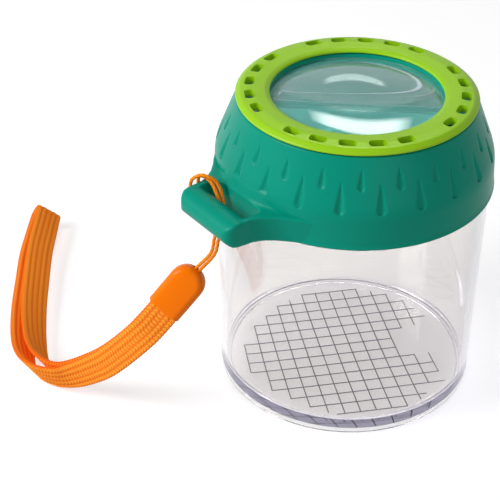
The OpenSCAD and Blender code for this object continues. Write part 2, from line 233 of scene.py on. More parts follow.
@dataclass(frozen=True)
class ClearPlastic:
    """Clear moulded plastic: polished walls with a slow ripple from the mould, faintly coloured through its depth."""

    name: str
    depth_colour: str
    per_metre: float
    ior: float
    tint: str = "#FFFFFF"
    ripple_mm: float = 9.0
    ripple_depth: float = 0.004
    roughness: float = 0.015
    inner_echoes: int = 3
    echo_colour: str = "#EFEDF2"
    haze: float = 0.0
    haze_colour: str = "#FFFFFF"

    def make(self) -> Material:
        """Builds the material."""
        material, tree = new_material(self.name)
        depth = {"Strength": 0.5, "Distance": self.ripple_depth * MM}
        skin = add_node(tree, "ShaderNodeBump", depth, {"Height": noise(tree, self.ripple_mm, 1.0)})
        shader = add_node(
            tree, "ShaderNodeBsdfPrincipled",
            {"Base Color": linear(self.tint), "Transmission Weight": 1.0, "IOR": self.ior, "Roughness": self.roughness},
            {"Normal": skin},
        )
        bloom = add_node(tree, "ShaderNodeBsdfDiffuse", {"Color": linear(self.haze_colour)})
        wall = add_node(tree, "ShaderNodeMixShader", {0: self.haze}, {1: shader, 2: bloom})
        clear = add_node(tree, "ShaderNodeBsdfTransparent", {"Color": linear(self.echo_colour)})
        # Light that has echoed inside the wall a few times goes straight on instead of being lost.
        path = add_node(tree, "ShaderNodeLightPath").outputs
        echo = calc(tree, "GREATER_THAN", path["Glossy Depth"], self.inner_echoes - 0.5)
        straight = calc(tree, "MAXIMUM", path["Is Shadow Ray"], echo)
        both = add_node(tree, "ShaderNodeMixShader", links={0: straight, 1: wall, 2: clear})
        dye = {"Color": linear(self.depth_colour), "Density": self.per_metre}
        inside = add_node(tree, "ShaderNodeVolumeAbsorption", dye)
        return surfaced(material, Surface=both, Volume=inside)


@dataclass(frozen=True)
class PrintedInk:
    """Screen-printed ink: matt, thin, and a little uneven where the screen let less through."""

    name: str
    colour: str
    thin: str
    speck_mm: float = 0.6

    def make(self) -> Material:
        """Builds the material."""
        material, tree = new_material(self.name)
        tint = between(tree, self.colour, self.thin, noise(tree, self.speck_mm, 2.0))
        shader = add_node(tree, "ShaderNodeBsdfPrincipled", {"Roughness": 0.7, "IOR": 1.45}, {"Base Color": tint})
        return surfaced(material, Surface=shader)


@dataclass(frozen=True)
class DyedYarn:
    """Polyester yarn, knitted or braided: soft, fuzzy, with painted shade between the stitches and a painted glow."""

    name: str
    colour: str
    # The deep colour lies between the stitches as painted shade, and it is also the colour of the painted glow.
    deep: str
    # Strength of the painted glow: the yarn gives off light of its deep colour though it is no lamp, lightening its
    # shaded side.
    glow: float
    fuzz: float = 0.08
    fibre_mm: float = 0.25

    def make(self) -> Material:
        """Builds the material. It reads the piece's own "crown" attribute, which is one on top of a stitch."""
        material, tree = new_material(self.name)
        crown = add_node(tree, "ShaderNodeAttribute", {"attribute_name": "crown"})
        fibre = noise(tree, self.fibre_mm, 4.0)
        height = calc(tree, "MULTIPLY_ADD", fibre, 0.35, crown.outputs["Fac"])
        # Painted shade: the colour goes to the deep one away from the stitches' tops, with a random fibre tone on top.
        tint = between(tree, self.deep, self.colour, ramp(tree, height, source=(0.1, 1.1)))
        skin = add_node(tree, "ShaderNodeBump", {"Strength": 0.5, "Distance": 0.05 * MM}, {"Height": fibre})
        # The emission is painted light, a glow that brightens the yarn where it lies in shade.
        shader = add_node(
            tree, "ShaderNodeBsdfPrincipled",
            {
                "Roughness": 0.85, "Specular IOR Level": 0.15, "Sheen Weight": self.fuzz, "Sheen Roughness": 0.5,
                "Sheen Tint": linear(self.colour), "Emission Color": linear(self.deep), "Emission Strength": self.glow,
            },
            {"Base Color": tint, "Normal": skin},
        )
        return surfaced(material, Surface=shader)


@dataclass(frozen=True)
class StudioPaper:
    """Seamless white paper, which meets the lens, gloss and clear walls as the same white that the camera sees.

    Under the jar's own floor that white is dimmed, a painted shadow of the lid.
    """

    name: str
    colour: str
    lift: float
    # How much of the white stays in the painted shadow under the jar, and the radii where that shadow fades out.
    shade: float = 0.78
    painted_shadow_from_mm: float = 40.5
    painted_shadow_to_mm: float = 43.0

    def make(self) -> Material:
        """Builds the material."""
        material, tree = new_material(self.name)
        place = add_node(tree, "ShaderNodeTexCoord")
        far = add_node(tree, "ShaderNodeVectorMath", {"operation": "LENGTH"}, {0: place.outputs["Object"]})
        edge = (self.painted_shadow_from_mm * MM, self.painted_shadow_to_mm * MM)
        # Painted shadow: the white fades down inside the jar's footprint.
        light = ramp(tree, far.outputs["Value"], edge, (self.lift * self.shade, self.lift))
        level = calc(tree, "MULTIPLY", seen_directly(tree), light)
        paper = add_node(tree, "ShaderNodeBsdfDiffuse", {"Color": linear(self.colour)})
        white = add_node(tree, "ShaderNodeEmission", {"Color": WHITE}, {"Strength": level})
        total = add_node(tree, "ShaderNodeAddShader", links={0: paper, 1: white})
        return surfaced(material, Surface=total)


# Shaping by hand


def pick(*objects: Object) -> None:
    """Leaves edit mode and makes these objects, or none, the only selected ones, with the first one active.
    """
    if bpy.context.mode != "OBJECT":
        bpy.ops.object.mode_set(mode="OBJECT")
    bpy.ops.object.select_all(action="DESELECT")
    for obj in objects:
        obj.select_set(True)
    if objects:
        bpy.context.view_layer.objects.active = objects[0]


def drawn(name: str, line: Sequence[Vector], closed: bool) -> Object:
    """Draws a line by extruding a point along it. Leaves edit mode on and all of it selected.

    Args:
        name: the new object's name.
        line: the points in millimetres.
        closed: whether the line comes back to its first point.

    Returns:
        The object.
    """
    pick()
    bpy.ops.mesh.primitive_plane_add(size=MM)
    obj = bpy.context.active_object
    obj.name = name
    obj.data.name = name
    bpy.ops.object.mode_set(mode="EDIT")
    bpy.ops.mesh.select_mode(type="VERT")
    bpy.ops.mesh.select_all(action="SELECT")
    bpy.ops.mesh.merge(type="CENTER")
    bpy.ops.transform.translate(value=line[0] * MM)
    stops = list(line) + ([line[0]] if closed else [])
    for here, there in zip(stops, stops[1:]):
        bpy.ops.mesh.extrude_vertices_move(TRANSFORM_OT_translate={"value": (there - here) * MM})
    bpy.ops.mesh.select_all(action="SELECT")
    bpy.ops.mesh.remove_doubles(threshold=WELD)
    bpy.ops.mesh.select_all(action="SELECT")
    return obj


def close_and_orient() -> None:
    """Merges doubles, fills open ends and turns the faces of the active object outwards. Leaves object mode on."""
    bpy.ops.object.mode_set(mode="EDIT")
    bpy.ops.mesh.select_all(action="SELECT")
    bpy.ops.mesh.remove_doubles(threshold=WELD)
    bpy.ops.mesh.select_mode(type="EDGE")
    bpy.ops.mesh.select_all(action="DESELECT")
    bpy.ops.mesh.select_non_manifold()
    bpy.ops.mesh.fill_holes(sides=0)
    bpy.ops.mesh.select_mode(type="VERT")
    bpy.ops.mesh.select_all(action="SELECT")
    bpy.ops.mesh.normals_make_consistent(inside=False)
    bpy.ops.object.mode_set(mode="OBJECT")


def part_way(here: Point, there: Point, share: float) -> Point:
    """Gives the point that is a share of the way from one point to another."""
    return here[0] + (there[0] - here[0]) * share, here[1] + (there[1] - here[1]) * share


def held(outline: Sequence[Point], near: float = 0.12, long: float = 1.2) -> list[Point]:
    """Adds a point near each end of the long stretches, so that a corner's smooth shading stays at the corner.

    Args:
        outline: radius and height of each point.
        near: how far from the corner the point lies.
        long: the shortest stretch that gets them.

    Returns:
        The outline with more points.
    """
    out: list[Point] = []
    for here, there in zip(outline, list(outline[1:]) + [outline[0]]):
        out.append(here)
        length = math.dist(here, there)
        if length > long and max(here[0], there[0]) > TINY:
            out += [part_way(here, there, share) for share in (near / length, 1 - near / length)]
    return out


def screwed(name: str, section: Sequence[Point], steps: int, angle: float, lead: float) -> Object:
    """Sweeps a section round the jar's axis, and up as it goes, with the Screw modifier.

    Args:
        name: the new object's name.
        section: radius and height of each point. It is closed unless both ends are on the axis.
        steps: divisions along the sweep.
        angle: how far it turns, in degrees.
        lead: the rise of a full turn.

    Returns:
        A closed solid.
    """
    on_axis = max(section[0][0], section[-1][0]) < TINY
    obj = drawn(name, [Vector((r, 0, z)) for r, z in section], not on_axis)
    screw = obj.modifiers.new("screw", "SCREW")
    screw.angle = math.radians(angle)
    screw.screw_offset = lead * angle / 360 * MM
    screw.steps = screw.render_steps = steps
    apply_modifiers(obj)
    close_and_orient()
    return obj


def turned(name: str, outline: Sequence[Point], steps: int, angle: float = 360) -> Object:
    """Turns an outline of radii and heights about the jar's axis, by degrees, and keeps its corners crisp."""
    return screwed(name, held(outline), steps, angle, 0)


def extruded(name: str, outline: Sequence[Point], low: float, high: float) -> Object:
    """Extrudes a flat outline upwards.

    Args:
        name: the new object's name.
        outline: x and y of each point.
        low: height of the lower face.
        high: height of the upper face.

    Returns:
        A closed solid.
    """
    obj = drawn(name, [Vector((x, y, low)) for x, y in outline], True)
    bpy.ops.mesh.edge_face_add()
    bpy.ops.mesh.extrude_region_move(TRANSFORM_OT_translate={"value": (0, 0, (high - low) * MM)})
    close_and_orient()
    return obj


def apply_modifiers(obj: Object) -> None:
    """Applies every modifier of an object, in order.

    Args:
        obj: the object.
    """
    pick(obj)
    for modifier in list(obj.modifiers):
        bpy.ops.object.modifier_apply(modifier=modifier.name)


def carve(obj: Object, tool: Object, how: Cut = Cut.TAKE_AWAY) -> None:
    """Changes one closed solid by another, which is then removed.

    Args:
        obj: the solid that is kept.
        tool: the solid that changes it.
        how: whether the tool is taken away, added, or keeps only what both hold.
    """
    cut = obj.modifiers.new("carve", "BOOLEAN")
    cut.operation = how.value
    cut.solver = "MANIFOLD"
    cut.object = tool
    apply_modifiers(obj)
    bpy.data.objects.remove(tool)


def joined(pieces: Sequence[Object]) -> Object:
    """Joins several meshes into the first.

    Args:
        pieces: the objects, which end as one.

    Returns:
        The first object.
    """
    pick(*pieces)
    bpy.ops.object.join()
    return pieces[0]


def round_the_axis(obj: Object, angles: Sequence[float]) -> Object:
    """Repeats a solid at several angles about the jar's axis and joins the copies.

    Args:
        obj: the solid, which is used up.
        angles: the copies' angles in degrees.

    Returns:
        One object of all the copies.
    """
    copies = []
    for angle in angles:
        other = obj.copy()
        other.data = obj.data.copy()
        other.data.transform(Matrix.Rotation(math.radians(angle), 4, "Z"))
        bpy.context.scene.collection.objects.link(other)
        copies.append(other)
    bpy.data.objects.remove(obj)
    return joined(copies)


def settle(obj: Object) -> None:
    """Puts an object's place into its mesh, so that the object sits at the origin."""
    pick(obj)
    bpy.ops.object.transform_apply(location=True, rotation=True, scale=True)


def dress(obj: Object, material: Material) -> None:
    """Gives an object one finish in place of what it had."""
    obj.data.materials.clear()
    obj.data.materials.append(material)


def finish_piece(obj: Object, body: Body, node: str, material: Material, smooth: float = 35.0) -> None:
    """Smooths, dresses and attaches a piece that stands for a CAD node, and hides that node.

    Args:
        obj: the finished mesh.
        body: the body that it rides on.
        node: the CAD node that it replaces.
        material: its finish.
        smooth: the largest angle between faces that shade as one, in degrees.
    """
    settle(obj)
    bpy.ops.object.shade_smooth_by_angle(angle=math.radians(smooth))
    dress(obj, material)
    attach(obj, body.value)
    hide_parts(node)
    LOG.info("%s: %d faces", obj.name, len(obj.data.polygons))


def rounded(corners: Sequence[Triple], closed: bool = True, step: float = 12.0) -> list[Point]:
    """Rounds the corners of an outline with arcs.

    Args:
        corners: x, y and radius of each corner. A radius of zero keeps it sharp.
        closed: whether the outline comes back to its first corner.
        step: the angle between points of an arc, in degrees.

    Returns:
        The outline's points.
    """
    out: list[Point] = []
    count = len(corners)
    for i, (x, y, radius) in enumerate(corners):
        if radius <= 0 or (not closed and i in (0, count - 1)):
            out.append((x, y))
            continue
        corner = Vector((x, y))
        before = (Vector(corners[i - 1][:2]) - corner).normalized()
        after = (Vector(corners[(i + 1) % count][:2]) - corner).normalized()
        half = before.angle(after) / 2
        if half > math.radians(89):
            out.append((x, y))
            continue
        centre = corner + (before + after).normalized() * (radius / math.sin(half))
        reach = radius / math.tan(half)
        start = corner + before * reach - centre
        end = corner + after * reach - centre
        sweep = start.angle_signed(end)
        pieces = max(1, math.ceil(abs(math.degrees(sweep)) / step))
        for k in range(pieces + 1):
            spoke = start.copy()
            spoke.rotate(Matrix.Rotation(-sweep * k / pieces, 2))
            out.append(tuple(centre + spoke))
    return out


def rounded_box(low: Point, high: Point, radius: float = 0) -> list[Point]:
    """Draws a rectangle with rounded corners from its least and its greatest corner."""
    (left, near), (right, far) = low, high
    return rounded([(left, near, radius), (right, near, radius), (right, far, radius), (left, far, radius)])


def finer(outline: Sequence[Point], low: float, high: float, step: float) -> list[Point]:
    """Adds points to the rising side of an outline, where both ends of a stretch lie between two heights.

    Args:
        outline: radius and height of each point.
        low: lower height.
        high: upper height.
        step: the longest stretch left there.

    Returns:
        The outline with more points.
    """
    out: list[Point] = []
    for here, there in zip(outline, list(outline[1:]) + [outline[0]]):
        out.append(here)
        inside = low <= here[1] < there[1] <= high
        pieces = max(1, math.ceil(math.dist(here, there) / step)) if inside else 1
        out += [part_way(here, there, k / pieces) for k in range(1, pieces)]
    return out


# Cords


def curve_through(points: np.ndarray, pieces: int) -> np.ndarray:
    """Samples the smooth curve that the part's own route follows.

    Args:
        points: one row for each point of the route.
        pieces: samples from one point to the next.

    Returns:
        The samples, one row each.
    """
    run = np.vstack([2 * points[0] - points[1], points, 2 * points[-1] - points[-2]])
    out = []
    for i in range(1, len(run) - 2):
        a, b, c, d = run[i - 1 : i + 3]
        for u in np.arange(pieces) / pieces:
            square, cube = (2 * a - 5 * b + 4 * c - d) * u**2, (3 * b - a - 3 * c + d) * u**3
            out.append(0.5 * (2 * b + (c - a) * u + square + cube))
    return np.vstack(out + [points[-1]])


def evenly(line: np.ndarray, step: float) -> np.ndarray:
    """Samples a line at equal distances.

    Args:
        line: points, whose first three columns are a place.
        step: the distance between samples.

    Returns:
        The samples, with every column.
    """
    run = np.concatenate([[0], np.cumsum(np.linalg.norm(np.diff(line[:, :3], axis=0), axis=1))])
    where = np.linspace(0, run[-1], max(2, round(run[-1] / step)))
    return np.column_stack([np.interp(where, run, line[:, k]) for k in range(line.shape[1])])


def unit_rows(rows: np.ndarray) -> np.ndarray:
    """Scales each row to a length of one."""
    return rows / np.linalg.norm(rows, axis=1)[:, None]


def skinned(name: str, rings: np.ndarray, crown: np.ndarray) -> Object:
    """Makes a closed tube mesh from rings of points.

    Args:
        name: the new object's name.
        rings: places by ring, by point and by axis, in metres.
        crown: how high each point stands on the yarn, from 0 to 1.

    Returns:
        The object, with a "crown" attribute.
    """
    count, around = rings.shape[:2]
    here = np.arange(count * around).reshape(count, around)
    beside = np.roll(here, -1, axis=1)
    walls = np.stack([here[:-1], beside[:-1], beside[1:], here[1:]], axis=-1).reshape(-1, 4)
    faces = walls.tolist() + [here[0, ::-1].tolist(), here[-1].tolist()]
    mesh = bpy.data.meshes.new(name)
    mesh.from_pydata(rings.reshape(-1, 3).tolist(), [], faces)
    mesh.attributes.new("crown", "FLOAT", "POINT").data.foreach_set("value", crown.reshape(-1).astype(np.float32))
    obj = bpy.data.objects.new(name, mesh)
    bpy.context.scene.collection.objects.link(obj)
    pick(obj)
    bpy.ops.object.mode_set(mode="EDIT")
    bpy.ops.mesh.select_all(action="SELECT")
    bpy.ops.mesh.normals_make_consistent(inside=False)
    bpy.ops.object.mode_set(mode="OBJECT")
    return obj


@dataclass
class HitchCord:
    """The thin braided cord: doubled, hitched through the lug's slot, both ends in the clip."""

    diameter: float = 1.1
    length: float = 0.130
    braid_mm: float = 1.7
    groove: float = 0.12
    step_mm: float = 0.16
    around: int = 16
    route: tuple[Triple, ...] = (
        (-0.0567, 0.0060, 0.0509), (-0.0544, 0.0051, 0.0540), (-0.0513, 0.0021, 0.0600),
        (-0.0496, 0.0023, 0.0648), (-0.0474, 0.0032, 0.0690), (-0.0459, 0.0044, 0.0725),
        (-0.0456, 0.0056, 0.0758), (-0.0458, 0.0067, 0.0788), (-0.0466, 0.0080, 0.0811),
        (-0.0482, 0.0094, 0.0823), (-0.0492, 0.0108, 0.0825), (-0.0501, 0.0122, 0.0818),
        (-0.0509, 0.0139, 0.0799), (-0.0513, 0.0142, 0.0770), (-0.0513, 0.0142, 0.0740),
        (-0.0509, 0.0141, 0.0712), (-0.0504, 0.0119, 0.0699), (-0.0499, 0.0080, 0.0696),
        (-0.0497, 0.0052, 0.0692), (-0.0494, 0.0032, 0.0689), (-0.0488, 0.0019, 0.0687),
        (-0.0477, 0.0014, 0.0686), (-0.0466, 0.0019, 0.0687), (-0.0460, 0.0032, 0.0689),
        (-0.0460, 0.0052, 0.0692), (-0.0463, 0.0080, 0.0697), (-0.0468, 0.0122, 0.0699),
        (-0.0473, 0.0147, 0.0711), (-0.0479, 0.0147, 0.0742), (-0.0483, 0.0143, 0.0770),
        (-0.0485, 0.0139, 0.0794), (-0.0486, 0.0129, 0.0812), (-0.0485, 0.0114, 0.0816),
        (-0.0480, 0.0102, 0.0814), (-0.0474, 0.0087, 0.0803), (-0.0471, 0.0069, 0.0780),
        (-0.0470, 0.0053, 0.0750), (-0.0472, 0.0046, 0.0716), (-0.0483, 0.0041, 0.0686),
        (-0.0503, 0.0034, 0.0648), (-0.0519, 0.0031, 0.0602), (-0.0549, 0.0060, 0.0547),
        (-0.0573, 0.0071, 0.0517),
    )

    def build(self, finish: Material) -> None:
        """Makes the cord.

        Args:
            finish: the yarn's material.
        """
        line = evenly(curve_through(np.array(self.route), 12), self.step_mm * MM)
        way = unit_rows(np.gradient(line, axis=0))
        side = np.empty_like(way)
        side[0] = np.cross(way[0], (0, 0, 1))
        for i in range(1, len(way)):
            side[i] = side[i - 1] - way[i] * (side[i - 1] @ way[i])
            side[i] /= np.linalg.norm(side[i])
        side = unit_rows(side)
        other = np.cross(side, way)
        run = np.arange(len(line)) * self.step_mm
        angle = TURN * np.arange(self.around) / self.around
        twist = TURN * run[:, None] / self.braid_mm
        strands = np.abs(np.cos(1.5 * angle + twist / 2)) ** 0.6
        radius = self.diameter / 2 * MM * (1 - self.groove + self.groove * strands)
        rings = (
            line[:, None, :]
            + side[:, None, :] * (radius * np.cos(angle))[..., None]
            + other[:, None, :] * (radius * np.sin(angle))[..., None]
        )
        cord = skinned("hitch_cord_braid", rings, strands)
        finish_piece(cord, Body.LID, "hitch_cord", finish, 60)


@dataclass
class WebbingLoop:
    """The flat knitted webbing, folded back on itself, both ends in the clip."""

    width: float = 9.8
    thickness: float = 1.8
    length: float = 0.314
    ribs: int = 5
    stitch_mm: float = 1.25
    step_mm: float = 0.3
    around: int = 72
    # How square the section is across and through, the stitches' slant and the depth between them.
    edge_power: float = 0.75
    face_power: float = 0.35
    slant: float = 1.1
    dip: float = 0.44
    # Place of the middle line, the lean of the width, the distance between the layers and the outer layer's shift.
    route: tuple[tuple[float, ...], ...] = (
        (-0.0626, 0.0091, 0.0438, -30, 0.0024, 0.0), (-0.0660, 0.0100, 0.0395, -26, 0.0024, 0.0),
        (-0.0710, 0.0125, 0.0330, -18, 0.0028, 0.0), (-0.0750, 0.0170, 0.0260, -9, 0.0032, 0.0),
        (-0.0785, 0.0230, 0.0185, -3, 0.0034, 0.0), (-0.0815, 0.0295, 0.0125, 3, 0.0035, 0.0004),
        (-0.0845, 0.0355, 0.0080, 10, 0.0036, 0.0010), (-0.0875, 0.0405, 0.0060, 17, 0.0036, 0.0016),
        (-0.0895, 0.0465, 0.0055, 26, 0.0040, 0.0018), (-0.0890, 0.0540, 0.0054, 38, 0.0042, 0.0018),
        (-0.0850, 0.0635, 0.0053, 50, 0.0044, 0.0016), (-0.0770, 0.0775, 0.0052, 58, 0.0046, 0.0014),
        (-0.0675, 0.0920, 0.0051, 62, 0.0048, 0.0012), (-0.0590, 0.1045, 0.0054, 62, 0.0050, 0.0010),
        (-0.0515, 0.1140, 0.0059, 60, 0.0050, 0.0006), (-0.0445, 0.1225, 0.0065, 56, 0.0050, 0.0),
    )

    def centre_line(self) -> tuple[np.ndarray, np.ndarray]:
        """Works out the middle line of both layers and the fold.

        Returns:
            The places, and the direction of the width at each.
        """
        samples = curve_through(np.array(self.route), 16)
        place, lean, pitch, shift = samples[:, :3], np.radians(samples[:, 3:4]), samples[:, 4:5], samples[:, 5:6]
        way = unit_rows(np.gradient(place, axis=0))
        side = unit_rows(np.cross((0, 0, 1), way))
        wide = np.cos(lean) * np.cross(way, side) + np.sin(lean) * side
        thick = np.cross(wide, way)
        inner = place - thick * pitch / 2 - wide * shift / 2
        outer = place + thick * pitch / 2 + wide * shift / 2
        bends = np.radians(np.arange(10, 180, 10))[:, None]
        fold = place[-1] + pitch[-1] / 2 * (np.sin(bends) * way[-1] - np.cos(bends) * thick[-1])
        places = np.vstack([inner, fold, outer[::-1]])
        widths = np.vstack([wide, np.repeat(wide[-1:], len(fold), axis=0), wide[::-1]])
        return places, widths

    def build(self, finish: Material) -> None:
        """Makes the webbing.

        Args:
            finish: the yarn's material.
        """
        samples = evenly(np.hstack(self.centre_line()), self.step_mm * MM)
        line, wide = samples[:, :3], unit_rows(samples[:, 3:])
        way = unit_rows(np.gradient(line, axis=0))
        thick = unit_rows(np.cross(wide, way))
        wide = np.cross(way, thick)
        angle = TURN * (np.arange(self.around) + 0.5) / self.around
        across = np.sign(np.cos(angle)) * np.abs(np.cos(angle)) ** self.edge_power
        face = np.sign(np.sin(angle)) * np.abs(np.sin(angle)) ** self.face_power
        column = (across + 1) / 2 * self.ribs
        lobe = np.abs(np.sin(np.pi * column))
        run = np.arange(len(line))[:, None] * self.step_mm
        offset = np.abs((column % 1) - 0.5) * self.slant + np.floor(column) * 0.5
        stitch = 0.5 + 0.5 * np.cos(TURN * (run / self.stitch_mm + offset))
        crown = lobe**0.7 * (0.25 + 0.75 * stitch)
        half_thick = self.thickness / 2 * MM * face * (1 - self.dip + self.dip * crown)
        half_wide = self.width / 2 * MM * across * (0.97 + 0.03 * stitch)
        rings = line[:, None, :] + wide[:, None, :] * half_wide[..., None] + thick[:, None, :] * half_thick[..., None]
        strap = skinned("webbing_knit", rings, crown)
        finish_piece(strap, Body.LID, "webbing_loop", finish, 60)


@dataclass
class StrapClip:
    """The moulded clip between cord and webbing: round-topped, hollow, with soft edges."""

    width: float = 11.2
    thickness: float = 6.4
    length: float = 16.5
    side_wall: float = 0.65
    face_wall: float = 0.8
    depth: float = 9.6
    corner: float = 0.8
    place: Triple = (-64.5, 9.9, 41.2)
    turn: Triple = (-22.5, 33.0, -61.0)
    edge_mm: float = 2.2

    def build(self, finish: Material) -> None:
        """Makes the clip.

        Args:
            finish: its material.
        """
        pick()
        bpy.ops.mesh.primitive_cube_add(size=MM)
        clip = bpy.context.active_object
        clip.name = "strap_clip_moulding"
        clip.data.transform(Matrix.Diagonal((self.width, self.thickness, self.length, 1)))
        clip.data.transform(Matrix.Translation((0, 0, self.length / 2 * MM)))
        self._bevel(clip, self._top_side_edge, radius=self.width / 2 * 0.985, segments=14)
        self._bevel(clip, self._front_or_back_edge, radius=self.edge_mm, segments=5)
        side, face = self.width / 2 - self.side_wall, self.thickness / 2 - self.face_wall
        cavity = rounded_box((-side, -face), (side, face), self.corner)
        carve(clip, extruded("cavity", cavity, low=-1.0, high=self.depth))
        hole = rounded_box((-1.5, -0.85), (1.5, 0.85), self.corner)
        carve(clip, extruded("cord_hole", hole, low=9.0, high=18.0))
        a, b, c = (math.radians(v) for v in self.turn)
        spin = Matrix.Rotation(c, 4, "Z") @ Matrix.Rotation(b, 4, "Y") @ Matrix.Rotation(a, 4, "X")
        clip.data.transform(Matrix.Translation(Vector(self.place) * MM) @ spin)
        finish_piece(clip, Body.LID, "strap_clip", finish, 40)

    def _top_side_edge(self, a: Vector, b: Vector) -> bool:
        """Tells whether an edge, given by its ends, is one of the two at the sides of the top."""
        return min(a.z, b.z) > MM and abs(a.x - b.x) < MM / 10

    def _front_or_back_edge(self, a: Vector, b: Vector) -> bool:
        """Tells whether an edge, given by its ends, is on the outline of the front or back face, above the mouth."""
        flat = abs(abs(a.y) - self.thickness / 2 * MM) < MM / 100 and abs(a.y - b.y) < MM / 100
        return flat and max(a.z, b.z) >= MM / 100

    @staticmethod
    def _bevel(obj: Object, wanted: Callable[[Vector, Vector], bool], radius: float, segments: int) -> None:
        """Bevels the edges that a test picks.

        Args:
            obj: the object.
            wanted: takes an edge's two ends and tells whether it is bevelled.
            radius: the bevel's radius.
            segments: how many faces round it.
        """
        pick(obj)
        bpy.ops.object.mode_set(mode="EDIT")
        bpy.ops.mesh.select_mode(type="EDGE")
        bpy.ops.mesh.select_all(action="DESELECT")
        bpy.ops.object.mode_set(mode="OBJECT")
        points = obj.data.vertices
        for edge in obj.data.edges:
            edge.select = wanted(points[edge.vertices[0]].co, points[edge.vertices[1]].co)
        bpy.ops.object.mode_set(mode="EDIT")
        bpy.ops.mesh.bevel(offset=radius * MM, segments=segments, profile=0.5, clamp_overlap=True)
        bpy.ops.object.mode_set(mode="OBJECT")


@dataclass
class Cup:
    """The clear cup and the lattice printed under its floor."""

    floor_low: float = 1.2
    floor_high: float = 3.85
    rim: float = 80.6
    steps: int = 288

    def build(self, clear: Material, ink: Material, nodes: dict[str, Object]) -> None:
        """Makes the cup and dresses the lattice.

        Args:
            clear: the cup's material.
            ink: the lattice's material.
            nodes: the CAD nodes by name.
        """
        corners = [
            (0, self.floor_low, 0), (38.5, self.floor_low, 0.3), (39.3, 0.0, 0.3), (41.3, 0.0, 0.9), (42.2, 70.8, 0.5),
            (40.6, 70.8, 0.4), (40.6, self.rim, 0.5), (39.3, self.rim, 0.5), (39.0, self.floor_high, 2.7),
            (0, self.floor_high, 0),
        ]
        cup = turned("cup_moulding", rounded(corners, closed=False, step=9), self.steps)
        section = [(40.3, 72.6), (41.2, 72.9), (41.2, 73.9), (40.3, 74.2)]
        rib = screwed("neck_ribs", section, steps=28, angle=70, lead=THREAD_LEAD)
        carve(cup, round_the_axis(rib, QUARTERS), Cut.ADD)
        finish_piece(cup, Body.JAR, "cup", clear)
        dress(nodes["measuring_grid"], ink)


